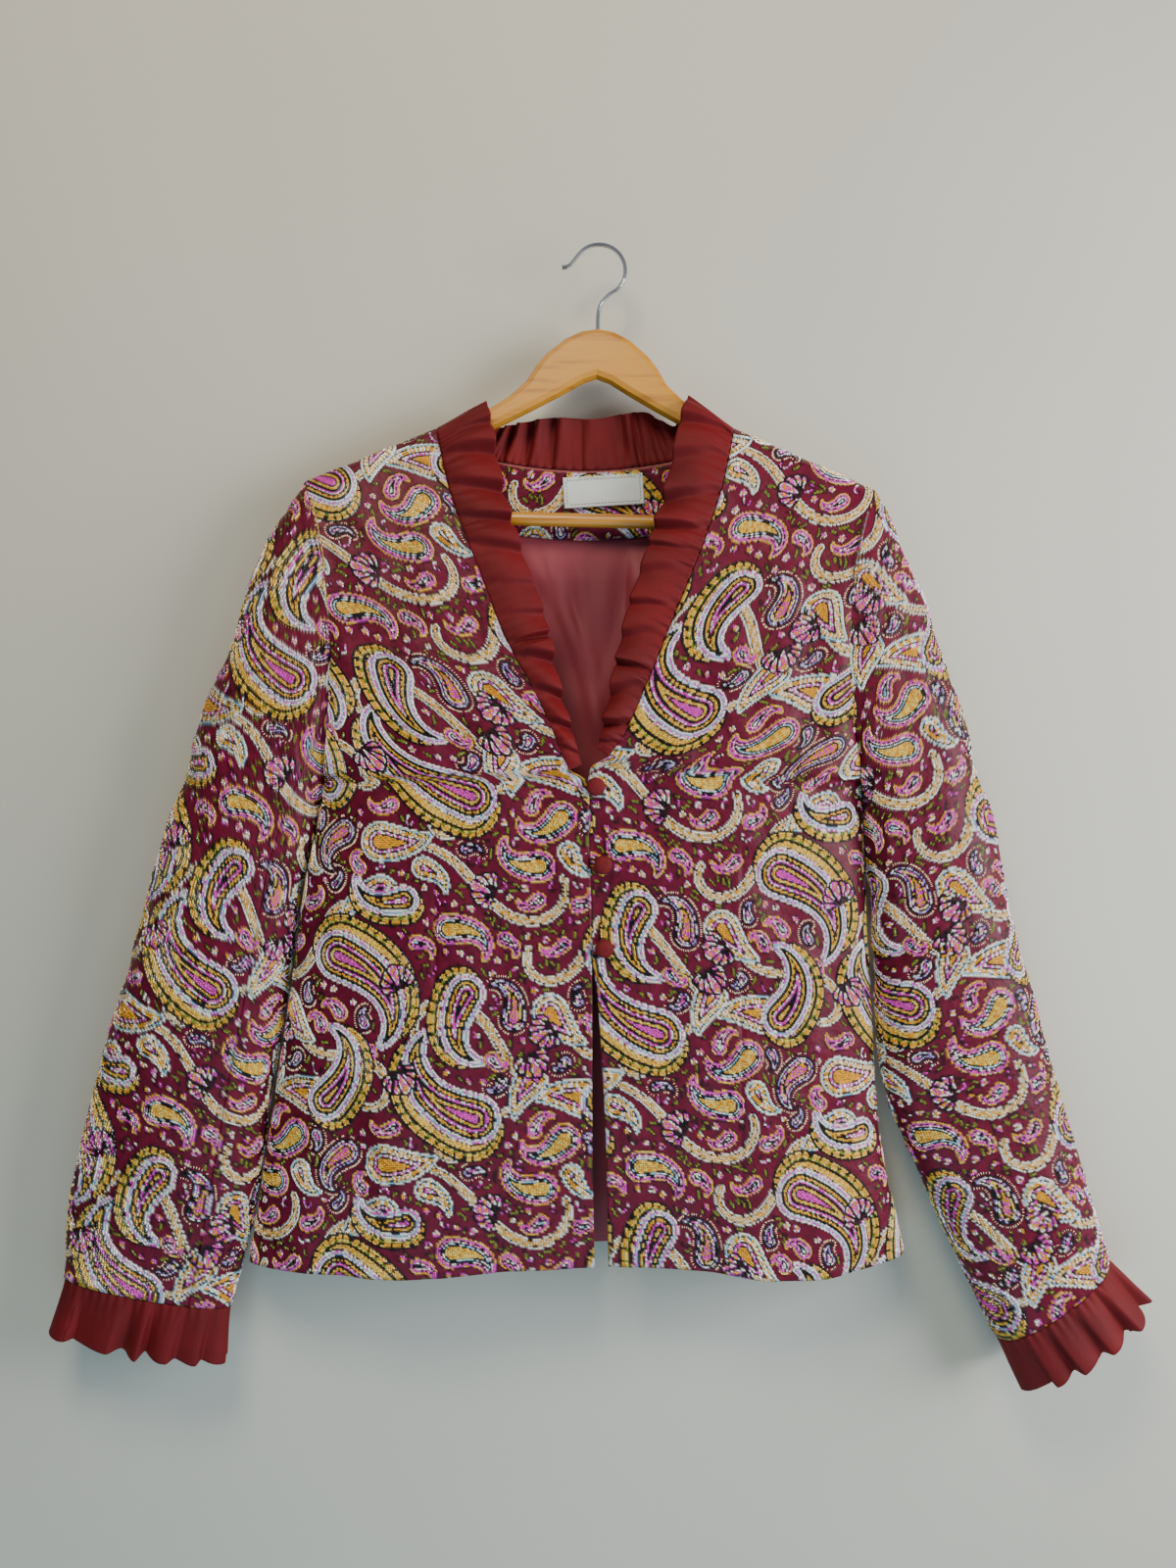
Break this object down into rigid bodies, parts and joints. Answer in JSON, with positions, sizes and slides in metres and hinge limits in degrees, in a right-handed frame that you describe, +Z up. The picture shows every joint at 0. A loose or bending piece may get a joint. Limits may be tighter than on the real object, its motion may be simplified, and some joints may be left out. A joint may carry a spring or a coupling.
{
  "type": "cocktail jacket on hanger",
  "caption": "Collarless V-neck embroidered paisley evening jacket with chiffon ruffles at neck and cuffs, buttoned and hanging on a wooden hanger",
  "frame": {"origin": "inside top of the hanger's hook, where a rail or wall hook carries it", "axes": "+Z up, the fronts face -Y, +X towards the wearer's left"},
  "size_m": [0.8324, 0.0713, 0.8676],
  "materials": {
    "embroidered_satin": "burgundy satin covered with multicoloured chain-stitch paisley embroidery",
    "lining_satin": "dusky rose lining satin, soft sheen",
    "label_weave": "off-white woven label, blank",
    "red_chiffon": "brick red chiffon, matt and slightly sheer",
    "button_cover": "dark red crepe cover",
    "pale_wood": "pale honey wood, satin lacquer",
    "chromed_wire": "polished wire"
  },
  "bodies": {
    "root": {"front_right": "embroidered_satin", "front_left": "embroidered_satin", "back": "embroidered_satin", "sleeve_upper_right": "embroidered_satin", "sleeve_under_right": "embroidered_satin", "sleeve_upper_left": "embroidered_satin", "sleeve_under_left": "embroidered_satin", "back_neck_facing": "embroidered_satin", "back_lining": "lining_satin", "label": "label_weave", "neck_ruffle_right": "red_chiffon", "neck_ruffle_left": "red_chiffon", "neck_ruffle_back": "red_chiffon", "cuff_ruffle_right": "red_chiffon", "cuff_ruffle_left": "red_chiffon", "button_1": "button_cover", "button_2": "button_cover", "button_3": "button_cover", "button_loop_1": "button_cover", "button_loop_2": "button_cover", "button_loop_3": "button_cover", "hanger_arms": "pale_wood", "hanger_bar": "pale_wood", "hanger_hook": "chromed_wire"}
  },
  "joints": []
}
